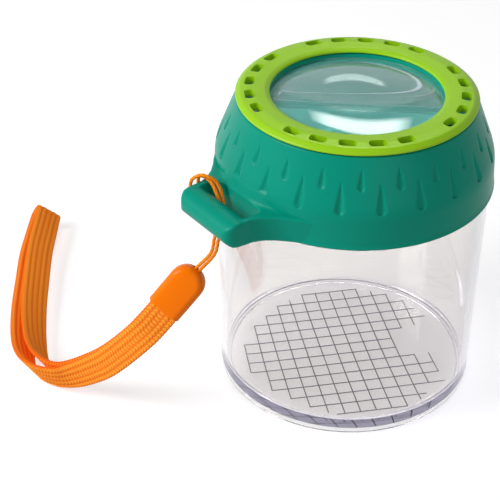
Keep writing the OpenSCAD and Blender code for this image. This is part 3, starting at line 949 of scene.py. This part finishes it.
@dataclass
class Lid:
    """The teal lid, its lime vent ring, the lens and the ring that holds it."""

    steps: int = 600
    dimples: int = 22
    low_az: float = 174.8
    high_az: float = 183.0
    # Radius and height of the corners down the outside of the skirt and cone, and the cone's lean in degrees.
    outside: tuple[Point, ...] = ((42.6, 81.0), (42.0, 83.6), (37.2, 95.8), (36.4, 98.0))
    lean: float = 21.5
    slots: int = 24
    lug_low: float = 71.2
    lug_high: float = 79.3
    bar_out: float = 52.6
    bar_reach: float = 4.8
    bar_half: float = 4.1
    flange_low: float = 95.9
    flange_high: float = 96.9
    flange_radius: float = 27.4
    lens_radius: float = 26.0
    sag_low: float = 1.6
    sag_high: float = 3.4

    def build(self, teal: Material, lime: Material, glass: Material, hidden: Material) -> None:
        """Makes the lid's four pieces.

        Args:
            teal: the moulding's material.
            lime: the vent ring's material.
            glass: the lens's material.
            hidden: the retainer's material.
        """
        shell = joined([self._skirt(), self._plate(), self._lug(), self._teeth()])
        finish_piece(shell, Body.LID, "lid_shell", teal, 50)
        finish_piece(self._ring(), Body.LID, "vent_ring", lime, 40)
        finish_piece(self._lens(), Body.LENS, "lens", glass, 30)
        corners = [(25.6, 92.6, 0.3), (27.5, 92.6, 0.3), (27.5, 95.8, 0.2), (26.2, 95.8, 0.2), (25.6, 94.0, 0.3)]
        holder = turned("lens_retainer_ring", rounded(corners), steps=192)
        finish_piece(holder, Body.LID, "lens_retainer", hidden)

    def _skirt(self) -> Object:
        """Makes the skirt and the dimpled cone, one wall all round."""
        cone = [(*corner, radius) for corner, radius in zip(self.outside, (8.0, 8.0, 4.0, 0.5))]
        inside = [(34.6, 98.0, 0.3), (35.0, 96.2, 0.6), (39.7, 84.5, 3.0), (39.4, 80.9, 0.3), (41.45, 80.9, 0.3)]
        foot = [(41.45, 71.2, 0.3), (43.5, 71.2, 0.45), (43.1, 72.6, 2.0)]
        outline = rounded(foot + cone + inside, step=20)
        skirt = turned("lid_moulding", finer(outline, low=81.0, high=96.3, step=0.38), self.steps)
        self._press(skirt, self.low_az, low=82.4, high=91.9, half=1.45, depth=0.8)
        self._press(skirt, self.high_az, low=89.0, high=95.3, half=1.1, depth=0.62)
        return skirt

    def _press(self, obj: Object, first: float, low: float, high: float, half: float, depth: float) -> None:
        """Presses a row of teardrop dimples into the outside of the cone.

        Args:
            obj: the turned skirt.
            first: direction of the first dimple, in degrees.
            low: height of the dimples' round lower ends.
            high: height of their points.
            half: half their width.
            depth: how deep they are.
        """
        places = np.empty(len(obj.data.vertices) * 3)
        obj.data.vertices.foreach_get("co", places)
        places = places.reshape(-1, 3) / MM
        x, y, z = places.T
        radius = np.hypot(x, y)
        radii, heights = zip(*self.outside)
        wall = np.interp(z, heights, radii)
        pitch = TURN / self.dimples
        angle = np.arctan2(y, x) - math.radians(first)
        across = np.abs((angle + pitch / 2) % pitch - pitch / 2) * radius
        slope = math.cos(math.radians(self.lean))
        rise, length = (z - low) / slope, (high - low) / slope
        ball = np.sqrt(np.clip(half**2 - (half - rise) ** 2, 0, None))
        cone = half * (length - rise) / (length - half)
        width = np.where(rise < half, ball, np.clip(cone, 0, None))
        share = np.clip(1 - (across / np.maximum(width, TINY)) ** 2, 0, 1)
        deep = depth * np.clip((length - rise) / (0.8 * length), 0, 1) ** 0.7 * share
        deep[(rise < 0) | (rise > length) | (radius < wall - 0.6)] = 0
        spoke = places[:, :2] / radius[:, None]
        places[:, :2] -= spoke * (deep * slope)[:, None]
        places[:, 2] -= deep * math.sin(math.radians(self.lean))
        obj.data.vertices.foreach_set("co", (places * MM).reshape(-1))
        obj.data.update()

    def _plate(self) -> Object:
        """Makes the plate with its four air windows and the collar round the lens."""
        corners = [
            (35.3, 96.0, 0), (35.3, 97.95, 0), (29.6, 97.95, 0.4), (29.6, 98.3, 0.1), (26.6, 98.3, 0.25),
            (26.6, 97.0, 0.1), (27.5, 97.0, 0), (27.5, 91.0, 0.3), (29.6, 91.0, 0.3), (29.6, 96.0, 0.6),
        ]
        plate = turned("lid_plate", rounded(corners), steps=240)
        window = turned("window", rounded_box((30.6, 95.0), (34.2, 99.0)), steps=48, angle=68)
        carve(plate, round_the_axis(window, [quarter + 11 for quarter in QUARTERS]))
        return plate

    def _lug(self) -> Object:
        """Makes the strap lug: a round bar on two arms that flare into the skirt, with a soft step above it."""
        half = [
            (32.2, 27.0), (34.6, 24.9), (37.2, 22.0), (39.8, 18.9), (42.0, 16.6), (44.5, 14.7), (47.0, 13.4),
            (49.5, 12.8),
        ]
        tip = rounded([(49.5, 12.8, 0), (57.5, 12.6, 3.8), (57.5, -12.6, 3.8), (49.5, -12.8, 0)], closed=False)
        plan = [(-u, v) for u, v in half[:-1] + tip + [(u, -v) for u, v in half[-2::-1]]]
        arms = rounded_box((-self.bar_out, -27.5), (-30.0, 27.5))
        lug = extruded("lug_arms", arms, self.lug_low, self.lug_high)
        slot = rounded_box((-60.0, -10.8), (-43.6, 10.8), 2.1)
        carve(lug, extruded("slot", slot, low=70.0, high=82.0))
        bpy.ops.mesh.primitive_cylinder_add(
            vertices=72, radius=self.bar_reach * MM, depth=60 * MM, location=(-self.bar_out * MM, 0, 0),
            rotation=(math.pi / 2, 0, 0),
        )
        bar = bpy.context.active_object
        settle(bar)
        rise = Matrix.Translation((0, 0, (self.lug_low + self.lug_high) / 2 * MM))
        bar.data.transform(rise @ Matrix.Diagonal((1, 1, self.bar_half / self.bar_reach, 1)))
        carve(lug, bar, Cut.ADD)
        carve(lug, extruded("plan", plan, low=70.0, high=82.0), Cut.KEEP_COMMON)
        carve(lug, self._step(inner=40.5, sweep=60, ease=18), Cut.ADD)
        bore = [(0, 69.0), (41.9, 69.0), (41.9, 80.5), (40.2, 85.5), (0, 85.5)]
        carve(lug, turned("bore", bore, steps=128))
        remesh = lug.modifiers.new("even", "REMESH")
        remesh.mode = "VOXEL"
        remesh.voxel_size = 0.44 * MM
        soften = lug.modifiers.new("soften", "SMOOTH")
        soften.factor = 0.5
        soften.iterations = 8
        apply_modifiers(lug)
        return lug

    def _step(self, inner: float, sweep: float, ease: float) -> Object:
        """Makes the soft step between the lug and the cone, which fades out sideways.

        Args:
            inner: the radius that it fades to.
            sweep: how far it reaches round the jar, in degrees.
            ease: the part of that in which it fades, at each end.

        Returns:
            A closed solid.
        """
        section = [(inner, 77.5), (43.9, 78.8), (43.4, 79.6), (42.9, 80.8), (42.2, 83.0), (inner, 84.5)]
        step = turned("step", section, steps=90, angle=sweep)
        for point in step.data.vertices:
            angle = math.degrees(math.atan2(point.co.y, point.co.x))
            radius = math.hypot(point.co.x, point.co.y)
            fade = min(1.0, max(0.0, min(angle, sweep - angle) / ease))
            scale = (inner * MM + (radius - inner * MM) * fade) / radius
            point.co.x *= scale
            point.co.y *= scale
        step.data.transform(Matrix.Rotation(math.radians(180 - sweep / 2), 4, "Z"))
        return step

    def _teeth(self) -> Object:
        """Makes the four lugs of the thread inside the skirt."""
        section = [(41.8, 70.7), (41.8, 72.5), (40.8, 72.3), (40.8, 70.9)]
        tooth = screwed("teeth", section, steps=10, angle=24, lead=THREAD_LEAD)
        start = 20
        rise = Matrix.Translation((0, 0, (THREAD_LEAD * start / 360) * MM))
        tooth.data.transform(rise @ Matrix.Rotation(math.radians(start), 4, "Z"))
        return round_the_axis(tooth, QUARTERS)

    def _ring(self) -> Object:
        """Makes the domed vent ring and cuts its air slots."""
        corners = [
            (29.8, 98.02, 0.1), (35.5, 98.02, 0.3), (36.5, 98.55, 0.5), (36.5, 99.1, 0.6), (35.0, 100.1, 2.0),
            (31.5, 100.5, 8.0), (27.6, 100.15, 1.5), (26.15, 99.6, 0.4), (26.15, 98.9, 0.3), (27.0, 98.55, 0.3),
            (29.8, 98.55, 0.1),
        ]
        ring = turned("vent_ring_moulding", rounded(corners, step=8), steps=384)
        slot = extruded("air_slot", rounded_box((30.9, -2.6), (33.9, 2.6), 1.1), low=97.0, high=101.5)
        # Each quarter has a bridge where a sixth slot would be.
        angles = [k * 360 / self.slots for k in range(self.slots) if k % (self.slots // 4)]
        carve(ring, round_the_axis(slot, angles))
        return ring

    def _lens(self) -> Object:
        """Makes the lens from two domed faces and a flange."""
        share = np.linspace(0, 1, 41)
        under = [(self.lens_radius * k, self.flange_low - self.sag_low * (1 - k**2)) for k in share]
        over = [(self.lens_radius * k, self.flange_high + self.sag_high * (1 - k**2)) for k in share[::-1]]
        flange = [(self.flange_radius, self.flange_low), (self.flange_radius, self.flange_high)]
        return turned("lens_moulding", under + flange + over, steps=192)


@dataclass
class Studio:
    """The plain pale setting: camera, lamps, paper and sky."""

    eye: Triple = (-0.2479, -0.2782, 0.2988)
    ahead: Triple = (0.4925, 0.6580, -0.5696)
    up: Triple = (0.3375, 0.4589, 0.8219)
    lens_mm: float = 101.04
    aim: Triple = (-0.01, 0.01, 0.05)
    # The light that gloss finds low down and high up, the heights of the two, and the light for all the rest.
    room_light: Point = (0.9, 0.3)
    room_height: Point = (0.25, 0.75)
    plain_light: float = 0.28
    # The strip light's strength, the way to it and along it, its shift that way and its bend.
    strip_light: float = 16.0
    strip_ahead: Triple = (0.599, 0.801, 0.0)
    strip_across: Triple = (-0.801, 0.599, 0.0)
    strip_aside: float = 0.08
    strip_bend: float = 2.4

    def build(self) -> None:
        """Makes the camera, the lamps, the paper and the sky."""
        self._camera()
        self._paper()
        self._sky()
        self._lamp("key", (-0.72, 0.28, 0.58), size=0.45, power=8.0)
        self._lamp("fill", (-0.15, -0.85, 0.50), size=0.60, power=1.6)

    def _camera(self) -> None:
        """Puts the camera where the photograph was taken from."""
        data = bpy.data.cameras.new("photo_view")
        data.lens = self.lens_mm
        data.sensor_width = 36
        data.clip_start = 0.01
        camera = bpy.data.objects.new("photo_view", data)
        back = -Vector(self.ahead).normalized()
        right = Vector(self.up).cross(back).normalized()
        up = back.cross(right)
        camera.matrix_world = Matrix.Translation(self.eye) @ Matrix((right, up, back)).transposed().to_4x4()
        bpy.context.scene.collection.objects.link(camera)
        bpy.context.scene.camera = camera

    def _lamp(self, name: str, place: Triple, size: float, power: float) -> None:
        """Adds a square soft lamp that faces the jar.

        Args:
            name: what the lamp is for.
            place: where it stands, in metres.
            size: its side, in metres.
            power: its power in watts.
        """
        data = bpy.data.lights.new(name, "AREA")
        data.size = size
        data.energy = power
        lamp = bpy.data.objects.new(name, data)
        lamp.location = place
        lamp.rotation_euler = (Vector(self.aim) - Vector(place)).to_track_quat("-Z", "Y").to_euler()
        bpy.context.scene.collection.objects.link(lamp)

    def _paper(self) -> None:
        """Lays the paper that the jar stands on."""
        pick()
        bpy.ops.mesh.primitive_plane_add(size=4.0, location=(0, 0, -0.05 * MM))
        paper = bpy.context.active_object
        paper.name = "studio_paper"
        paper.data.materials.append(StudioPaper("white_seamless_paper", "#C8C8C8", lift=0.6).make())

    def _sky(self) -> None:
        """Lights the scene from all round and shows white behind it."""
        world = bpy.data.worlds.new("studio_air")
        world.use_nodes = True
        tree = world.node_tree
        tree.nodes.clear()
        # Gloss finds the white backdrop low down and a darker room above it.
        way = add_node(tree, "ShaderNodeNewGeometry").outputs["Position"]
        height = add_node(tree, "ShaderNodeSeparateXYZ", links={0: way}).outputs["Z"]
        room = ramp(tree, height, self.room_height, self.room_light)
        gloss = calc(tree, "MULTIPLY_ADD", self._strip(tree, way, height), self.strip_light, room)
        plain = ramp(tree, seen_directly(tree), target=(self.plain_light, 1.0))
        mirrored = add_node(tree, "ShaderNodeLightPath").outputs["Is Glossy Ray"]
        level = add_node(tree, "ShaderNodeMix", {"data_type": "FLOAT"}, {0: mirrored, 2: plain, 3: gloss})
        air = add_node(tree, "ShaderNodeBackground", {"Color": WHITE}, {"Strength": level})
        add_node(tree, "ShaderNodeOutputWorld", links={"Surface": air})
        bpy.context.scene.world = world
        bpy.context.scene.view_settings.view_transform = "Standard"

    def _strip(self, tree: NodeTree, way: NodeSocket, height: NodeSocket) -> Node:
        """Shapes a curved strip light high behind the jar, which the lens's near edge mirrors as a bright crescent.

        Args:
            tree: the sky's tree.
            way: the direction of a place in the sky.
            height: that direction's upward part.

        Returns:
            One inside the strip and zero outside it, with soft edges.
        """
        aside, behind = (
            add_node(tree, "ShaderNodeVectorMath", {"operation": "DOT_PRODUCT", 1: axis}, {0: way}).outputs["Value"]
            for axis in (self.strip_across, self.strip_ahead)
        )
        square = calc(tree, "POWER", calc(tree, "ADD", aside, self.strip_aside), 2.0)
        bent = calc(tree, "MULTIPLY_ADD", square, self.strip_bend, height)
        strip = None
        # Each edge's place and softness. It is the far edge where the softness is below zero.
        edges = (square, 0.032, -0.014), (bent, 0.75, 0.018), (bent, 0.825, -0.008), (behind, 0.0, 0.01)
        for value, edge, soft in edges:
            inside = ramp(tree, value, (edge - soft, edge + soft))
            strip = inside if strip is None else calc(tree, "MULTIPLY", strip, inside)
        return strip


def main() -> None:
    """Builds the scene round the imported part."""
    logging.basicConfig(level=logging.INFO, format="%(message)s")
    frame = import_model()
    Studio().build()
    # Each yarn has painted shade between its stitches and a painted glow of the given strength.
    braid = DyedYarn("braided_polyester_cord", "#F8941A", "#C04E06", glow=0.1).make()
    knit = DyedYarn("knitted_polyester_webbing", "#FFB23A", "#D44A00", glow=0.24).make()
    HitchCord().build(braid)
    WebbingLoop().build(knit)
    dress(frame["nodes"]["cord_knot"], braid)
    clip = MouldedPlastic("moulded_orange_clip", "#FA7C00", "#F57200", roughness=0.22, glow=0.05, shine=0.1).make()
    StrapClip().build(clip)
    teal = MouldedPlastic("moulded_teal_abs", "#02907A", "#008A74", roughness=0.34, shine=0.1).make()
    lime = MouldedPlastic("moulded_lime_abs", "#98CC12", "#92C70E", roughness=0.36).make()
    hidden = MouldedPlastic("moulded_retainer_abs", "#0F8F7C", "#0B8673", roughness=0.4).make()
    lens = ClearPlastic(
        "polished_acrylic_lens", "#A8EBDD", per_metre=24.0, ior=1.49, ripple_mm=30.0, ripple_depth=0.0,
        echo_colour="#6FA79C", inner_echoes=5, haze=0.12, haze_colour="#A6FCFA",
    ).make()
    Lid().build(teal, lime, lens, hidden)
    clear = ClearPlastic(
        "clear_moulded_styrene", "#C1BBEC", per_metre=20.0, ior=1.57, tint="#F4F2EE", echo_colour="#E9E8EC"
    ).make()
    ink = PrintedInk("screen_printed_ink", "#2E2838", "#4A4358").make()
    Cup().build(clear, ink, frame["nodes"])


if __name__ == "__main__":
    main()
